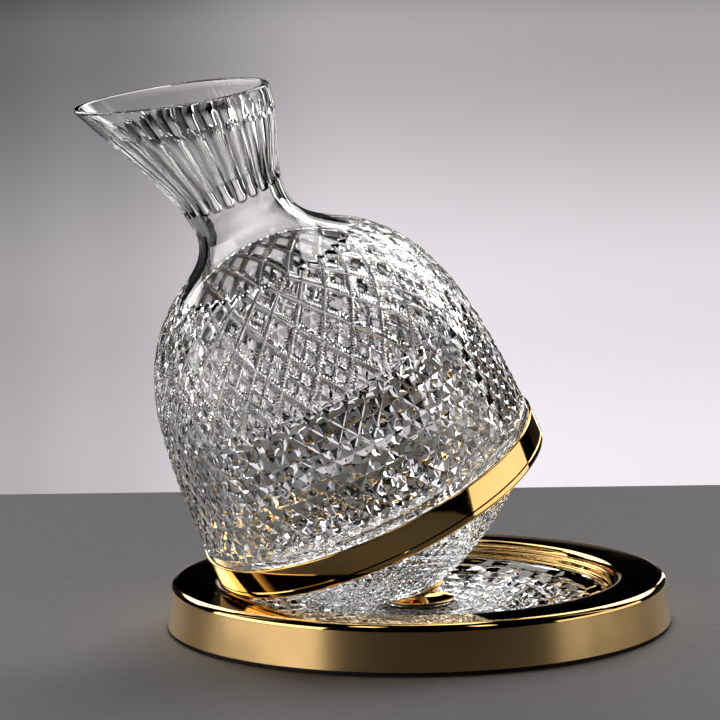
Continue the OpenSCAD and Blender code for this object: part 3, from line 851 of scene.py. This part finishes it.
def tray_profile():
    """The outside over the wall, flat top, roll and steps to the ledge, then back along the inside."""
    outside = [(TRAY_R, PAD_T)]
    outside += arc(TOP_R - EDGE_ROUND, TRAY_H - EDGE_ROUND, EDGE_ROUND, 0, 90, 14)
    outside += arc(FLAT_INNER_R, TRAY_H - ROLL_ROUND, ROLL_ROUND, 90, 180, 16)
    outside += [(WELL_R, STEP1_Z + STEP_ROUND)]
    outside += arc(WELL_R - STEP_ROUND, STEP1_Z + STEP_ROUND, STEP_ROUND, 0, -90, 5)[1:]
    outside += arc(STEP1_R + STEP_ROUND, STEP1_Z - STEP_ROUND, STEP_ROUND, 90, 180, 6)
    outside += arc(STEP1_R - STEP_ROUND / 2, STEP2_Z + STEP_ROUND / 2, STEP_ROUND / 2, 0, -90, 4)
    outside += arc(STEP2_R + STEP_ROUND, STEP2_Z - STEP_ROUND, STEP_ROUND, 90, 180, 6)
    outside += [(STEP2_R, LEDGE_Z), (LEDGE_R, LEDGE_Z)]
    t = SHEET_T
    inside = [
        (LEDGE_R, LEDGE_Z - t), (STEP2_R + t, LEDGE_Z - t), (STEP2_R + t, STEP2_Z - t),
        (STEP1_R + t, STEP2_Z - t), (STEP1_R + t, STEP1_Z - t), (WELL_R + t, STEP1_Z - t)]
    inside += arc(FLAT_INNER_R, TRAY_H - ROLL_ROUND, ROLL_ROUND - t, 180, 90, 8)
    inside += arc(TOP_R - EDGE_ROUND, TRAY_H - EDGE_ROUND, EDGE_ROUND - t, 90, 0, 8)
    inside += [(TRAY_R - t, PAD_T)]
    return outside + inside


def tray_finish(start, end):
    """The outer wall is satin, and the rest polished."""
    return int(min(start[0], end[0]) > SATIN_R and min(start[1], end[1]) < SATIN_Z)


def band_profile():
    corner_r = BAND_R - BAND_ROUND
    corner_s = BAND_S + BAND_ROUND
    groove_s = BAND_S + GROOVE_UP
    top_s = BAND_S + BAND_H
    inner_r = BAND_R - BAND_T
    profile = arc(corner_r, corner_s, BAND_ROUND, -90, 0, 12)
    profile += [(BAND_R, groove_s - GROOVE), (BAND_R - GROOVE, groove_s), (BAND_R, groove_s + GROOVE)]
    profile += arc(BAND_R - BAND_EDGE, top_s - BAND_EDGE, BAND_EDGE, 0, 90, 6)
    profile += [(inner_r, top_s), (inner_r, SEAT_S - 1)]
    profile += [(float(cone_radius(s)) + GLUE_T, s) for s in (corner_s, BAND_S)]
    return profile


def saucer_z(radius):
    share = max(0, radius - SAUCER_FLOOR_R) / (SAUCER_R - SAUCER_FLOOR_R)
    return SAUCER_FLOOR_Z + SAUCER_RISE * share ** 2


def saucer_profile():
    radii = [SAUCER_FLOOR_R + (SAUCER_R - SAUCER_FLOOR_R) * step / 20 for step in range(20)]
    top = [(radius, saucer_z(radius)) for radius in radii]
    rim = arc(SAUCER_R - SAUCER_EDGE, saucer_z(SAUCER_R) - SAUCER_EDGE_DROP, SAUCER_EDGE, 80, -60, 6)
    under = [(radius, saucer_z(radius) - SAUCER_T) for radius in reversed(radii)]
    return [(SPINDLE_R, SAUCER_FLOOR_Z), *top, *rim, *under, (SPINDLE_R, SAUCER_FLOOR_Z - SAUCER_T)]


def post_profile():
    """A spindle with a groove for its clip, then a hollowed cone with a dimple for the ball on top."""
    low = 2.3
    chamfer = 0.2
    clip_top = 3.3
    clip_foot = clip_top - 0.6
    clip_r = 2.3
    profile = [(0, low), (SPINDLE_R - chamfer, low), (SPINDLE_R, low + chamfer)]
    profile += [(SPINDLE_R, clip_foot), (clip_r, clip_foot), (clip_r, clip_top), (SPINDLE_R, clip_top)]
    profile += [(SPINDLE_R, SAUCER_FLOOR_Z), (POST_FOOT_R, SAUCER_FLOOR_Z)]
    cone_foot = SAUCER_FLOOR_Z + POST_FOOT_EDGE
    cone_top = PIVOT_Z - BALL_R * POST_TOP_SHARE
    for step in range(9):
        share = step / 8
        radius = POST_FOOT_R + (POST_TOP_R - POST_FOOT_R) * share ** POST_POWER
        profile.append((radius, cone_foot + (cone_top - cone_foot) * share))
    dimple_radii = (1.2, 0.6, 0)
    for radius in dimple_radii:
        profile.append((radius, PIVOT_Z - math.sqrt(DIMPLE_R ** 2 - radius ** 2)))
    return profile


def flange_profile():
    """A chamfered disc with a sleeve round the spin bush."""
    chamfer_w = FLANGE_CHAMFER * 1.6
    bulge = 0.5
    profile = [(BUSH_R, FLANGE_S), (FLANGE_R - chamfer_w, FLANGE_S)]
    profile += [(FLANGE_R - bulge, FLANGE_S + FLANGE_CHAMFER / 2), (FLANGE_R, FLANGE_S + FLANGE_CHAMFER)]
    profile += arc(FLANGE_R - FLANGE_EDGE, FLANGE_TOP_S - FLANGE_EDGE, FLANGE_EDGE, 0, 90, 5)
    return profile + [(SLEEVE_R, FLANGE_TOP_S), (SLEEVE_R, BUSH_TOP_S), (BUSH_R, BUSH_TOP_S)]


def gold_piece(name, node, body, profile, columns, materials=(gold,), finish=None, leaning=False):
    piece = lathe(name, profile, columns, materials, finish)
    if leaning:
        place(piece, LEANING)
    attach(piece, body)
    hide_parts(node)


gold_piece("gold_tray", "tray_shell", "base", tray_profile(), 360, (gold, gold_satin), tray_finish)
gold_piece("gold_band", "roll_band", "decanter", band_profile(), 360, leaning=True)
gold_piece("gold_saucer", "saucer", "swivel", saucer_profile(), 180)
gold_piece("gold_post", "pivot_post", "swivel", post_profile(), 96)
gold_piece("gold_flange", "tip_flange", "decanter", flange_profile(), 180, leaning=True)

dish = build_dish([pressed])
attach(dish, "base")
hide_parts("glass_dish")

decanter = build_decanter([crystal])
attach(decanter, "decanter")
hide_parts("glass_decanter", "glass_foot")


# ================= stage, lights and camera =================
# The stage is laid out with the camera looking along +Y, and then turned about Z. Sizes are in metres.

VIEW_TURN = math.radians(-25.74)
STRAIGHT_BACK = math.radians(90) + VIEW_TURN

FLOOR_NEAR = -0.42
FLOOR_FAR = 0.35
FLOOR_SIDE = 0.45

BACK_AT = 3.0
BACK_LEFT = -0.70
BACK_RIGHT = 0.54
BACK_LOW = -1.1
BACK_HIGH = 0.50
BACK_TINT = (1.0, 0.955, 1.0, 1)
# (place, level) points of its brightness on the screen, which is the sum of the two less the shift
BACK_UPWARD = ((-1.1, 0.72), (-0.40, 0.69), (-0.15, 0.63), (0.23, 0.40), (0.42, 0.12), (0.50, 0.05))
BACK_ACROSS = ((-0.70, 0.25), (-0.60, 0.26), (-0.47, 0.31), (-0.10, 0.53), (0.44, 0.505), (0.54, 0.50))
BACK_SHIFT = 0.25
SCREEN_GAMMA = 2.2

# (place, level) points of the white tent: by how high a direction points, by how far it faces back, and by
# the wave that splits it into panels
PANELS = 6
TENT_HEIGHT = (
    (-1.0, 0.05), (-0.45, 0.16), (-0.12, 0.03), (0.30, 0.0),
    (0.36, 3.2), (0.75, 3.2), (0.85, 0.0), (1.0, 0.0))
TENT_BEHIND = ((-1.0, 0.0), (0.0, 0.0), (0.45, 1.0), (1.0, 1.0))
TENT_PANELS = ((-1.0, 0.0), (0.15, 0.0), (0.30, 1.0), (1.0, 1.0))
SURROUND = (0.33, 0.32, 0.335, 1)

# name, azimuth and elevation in degrees, distance, width, height, radiance
SOFTBOXES = (
    ("softbox_left", 172, 6, 1.1, 1.3, 0.56, 2.8),
    ("softbox_right", -26, 3, 1.1, 1.15, 0.40, 1.5),
    ("softbox_back_left", 108, 30, 1.6, 0.62, 0.66, 3.0),
    ("softbox_back_right", 20, 30, 1.6, 0.62, 0.66, 2.6),
    ("softbox_back", 64, 40, 2.4, 1.1, 0.5, 2.4),
    ("strip_right", 48, 3, 2.6, 0.18, 1.1, 3.0),
    ("softbox_front", -150, 58, 1.5, 0.25, 0.35, 2.5),
    ("softbox_front_right", -80, 48, 1.5, 0.22, 0.35, 2.5))
SOFTBOX_COLOUR = (1, 0.97, 0.93)
AIM_Z = 0.05

CAMERA_AT = (0, -1.2, 0.2484)
YAW = -0.01907
PITCH = 0.11437
ROLL = -0.01631
LENS = 145.58
SENSOR = 36.0


def turned(v):
    return Matrix.Rotation(VIEW_TURN, 3, "Z") @ Vector(v)


def flat_panel(name, corner_points, material):
    """A flat stage panel, turned with the camera."""
    mesh = bpy.data.meshes.new(name)
    mesh.from_pydata([tuple(turned(point)) for point in corner_points], [], [(0, 1, 2, 3)])
    mesh.materials.append(material)
    panel = bpy.data.objects.new(name, mesh)
    bpy.context.scene.collection.objects.link(panel)
    return panel


def curve(tree, value, points, low, high):
    """A grey that runs softly through (place, level) points, the first at low and the last at high."""
    place_share = tree.nodes.new("ShaderNodeMapRange")
    place_share.inputs["From Min"].default_value = low
    place_share.inputs["From Max"].default_value = high
    tree.links.new(value, place_share.inputs["Value"])
    node = tree.nodes.new("ShaderNodeValToRGB")
    node.color_ramp.interpolation = "EASE"
    stops = node.color_ramp.elements
    while len(stops) < len(points):
        stops.new(0.5)
    for index, (at, level) in enumerate(points):
        stops[index].position = (at - low) / (high - low)
        stops[index].color = (level, level, level, 1)
    tree.links.new(place_share.outputs["Result"], node.inputs["Fac"])
    return node.outputs["Color"]


def arithmetic(tree, operation, *values, clamp=False):
    """The result of a Math node, from plain numbers and other nodes' outputs."""
    node = tree.nodes.new("ShaderNodeMath")
    node.operation = operation
    node.use_clamp = clamp
    for socket, value in zip(node.inputs, values):
        feed(tree, socket, value)
    return node.outputs["Value"]


def mix(tree, blend, factor, a, b):
    """Two colours mixed."""
    node = tree.nodes.new("ShaderNodeMix")
    node.data_type = "RGBA"
    node.blend_type = blend
    feed(tree, node.inputs["Factor"], factor)
    feed(tree, node.inputs["A"], a)
    feed(tree, node.inputs["B"], b)
    return node.outputs["Result"]


def add_floor():
    material = plain(
        "pale_floor", (0.52, 0.51, 0.53, 1), (0.56, 0.55, 0.57, 1),
        rough=(0.55, 0.65), grain=0.00002, grain_scale=700)
    near_edge = [(-FLOOR_SIDE, FLOOR_NEAR, 0), (FLOOR_SIDE, FLOOR_NEAR, 0)]
    far_edge = [(FLOOR_SIDE, FLOOR_FAR, 0), (-FLOOR_SIDE, FLOOR_FAR, 0)]
    flat_panel("floor", near_edge + far_edge, material)


def add_backdrop():
    """A glowing panel that darkens towards its top and its left edge."""
    material, tree, shader = new_material("backdrop")
    shader.inputs["Base Color"].default_value = (0, 0, 0, 1)
    shader.inputs["Roughness"].default_value = 1.0
    shader.inputs["Emission Strength"].default_value = 1.0
    ends = ((BACK_LEFT, BACK_LOW), (BACK_RIGHT, BACK_LOW), (BACK_RIGHT, BACK_HIGH), (BACK_LEFT, BACK_HIGH))
    panel = flat_panel("backdrop", [(x, BACK_AT, z) for x, z in ends], material)
    layer = panel.data.uv_layers.new(name="UVMap")
    for loop, uv in zip(layer.data, ends):
        loop.uv = uv
    coords = tree.nodes.new("ShaderNodeTexCoord")
    split = tree.nodes.new("ShaderNodeSeparateXYZ")
    tree.links.new(coords.outputs["UV"], split.inputs["Vector"])
    upward = curve(tree, split.outputs["Y"], BACK_UPWARD, BACK_LOW, BACK_HIGH)
    across = curve(tree, split.outputs["X"], BACK_ACROSS, BACK_LEFT, BACK_RIGHT)
    total = arithmetic(tree, "ADD", upward, across)
    level = arithmetic(tree, "SUBTRACT", total, BACK_SHIFT, clamp=True)
    light = arithmetic(tree, "POWER", level, SCREEN_GAMMA)
    tree.links.new(mix(tree, "MULTIPLY", 1.0, BACK_TINT, light), shader.inputs["Emission Color"])


def softbox(name, azimuth, elevation, distance, width, height, radiance, colour=SOFTBOX_COLOUR, fill=False):
    """A soft light, aimed above the tray's centre. Only a fill light lights matt surfaces."""
    light = bpy.data.lights.new(name, "AREA")
    light.shape = "RECTANGLE"
    light.size = width
    light.size_y = height
    light.energy = radiance * math.pi * width * height
    light.color = colour
    lamp = bpy.data.objects.new(name, light)
    turn = math.radians(azimuth)
    rise = math.radians(elevation)
    out = Vector((math.cos(turn) * math.cos(rise), math.sin(turn) * math.cos(rise), math.sin(rise)))
    lamp.location = out * distance + Vector((0, 0, AIM_Z))
    lamp.rotation_euler = out.to_track_quat("Z", "Y").to_euler()
    lamp.visible_diffuse = fill
    bpy.context.scene.collection.objects.link(lamp)


def add_world():
    """A white tent behind the set, which shows in reflections and glass and doesn't light matt surfaces.

    It glows in a belt well above the horizon, and faintly below it, on the far side only. It is split into
    panels with dark gaps, one of them straight behind the object. Where the camera sees it directly, past the
    backdrop, it is a plain soft grey.
    """
    world = bpy.data.worlds.new("studio")
    world.use_nodes = True
    bpy.context.scene.world = world
    world.cycles_visibility.diffuse = False
    tree = world.node_tree
    sky = tree.nodes.new("ShaderNodeTexCoord").outputs["Generated"]
    split = tree.nodes.new("ShaderNodeSeparateXYZ")
    tree.links.new(sky, split.inputs["Vector"])
    height = curve(tree, split.outputs["Z"], TENT_HEIGHT, -1.0, 1.0)
    facing = tree.nodes.new("ShaderNodeVectorMath")
    facing.operation = "DOT_PRODUCT"
    tree.links.new(sky, facing.inputs[0])
    facing.inputs[1].default_value = turned((0, 1, 0))
    behind = curve(tree, facing.outputs["Value"], TENT_BEHIND, -1.0, 1.0)
    tent = mix(tree, "MULTIPLY", 1.0, height, behind)
    angle = arithmetic(tree, "ARCTAN2", split.outputs["Y"], split.outputs["X"])
    gap_behind = math.radians(-90) - PANELS * STRAIGHT_BACK
    wave = arithmetic(tree, "SINE", arithmetic(tree, "MULTIPLY_ADD", angle, PANELS, gap_behind))
    panels = curve(tree, wave, TENT_PANELS, -1.0, 1.0)
    reflected = mix(tree, "MULTIPLY", 1.0, tent, panels)
    path = tree.nodes.new("ShaderNodeLightPath")
    seen = mix(tree, "MIX", path.outputs["Is Camera Ray"], reflected, SURROUND)
    tree.links.new(seen, tree.nodes["Background"].inputs["Color"])


def add_camera():
    forward = Vector((math.sin(YAW) * math.cos(PITCH), math.cos(YAW) * math.cos(PITCH), -math.sin(PITCH)))
    right = Vector((math.cos(YAW), -math.sin(YAW), 0))
    up = right.cross(forward)
    rolled_right = math.cos(ROLL) * right + math.sin(ROLL) * up
    rolled_up = -math.sin(ROLL) * right + math.cos(ROLL) * up
    axes = Matrix([turned(rolled_right), turned(rolled_up), -turned(forward)])
    camera = bpy.data.cameras.new("camera")
    camera.sensor_fit = "HORIZONTAL"
    camera.sensor_width = SENSOR
    camera.lens = LENS
    camera.clip_start = 0.05
    camera.clip_end = 20
    tripod = bpy.data.objects.new("camera", camera)
    tripod.matrix_world = Matrix.Translation(turned(CAMERA_AT)) @ axes.transposed().to_4x4()
    bpy.context.scene.collection.objects.link(tripod)
    bpy.context.scene.camera = tripod


add_floor()
add_backdrop()
for row in SOFTBOXES:
    softbox(*row)
softbox("softbox_top", 65, 74, 1.4, 0.6, 0.5, 3.4, colour=(1, 0.98, 0.97), fill=True)
add_world()
add_camera()

scene = bpy.context.scene
scene.cycles.max_bounces = 24
scene.cycles.transmission_bounces = 24
scene.cycles.glossy_bounces = 6
scene.view_settings.view_transform = "Standard"
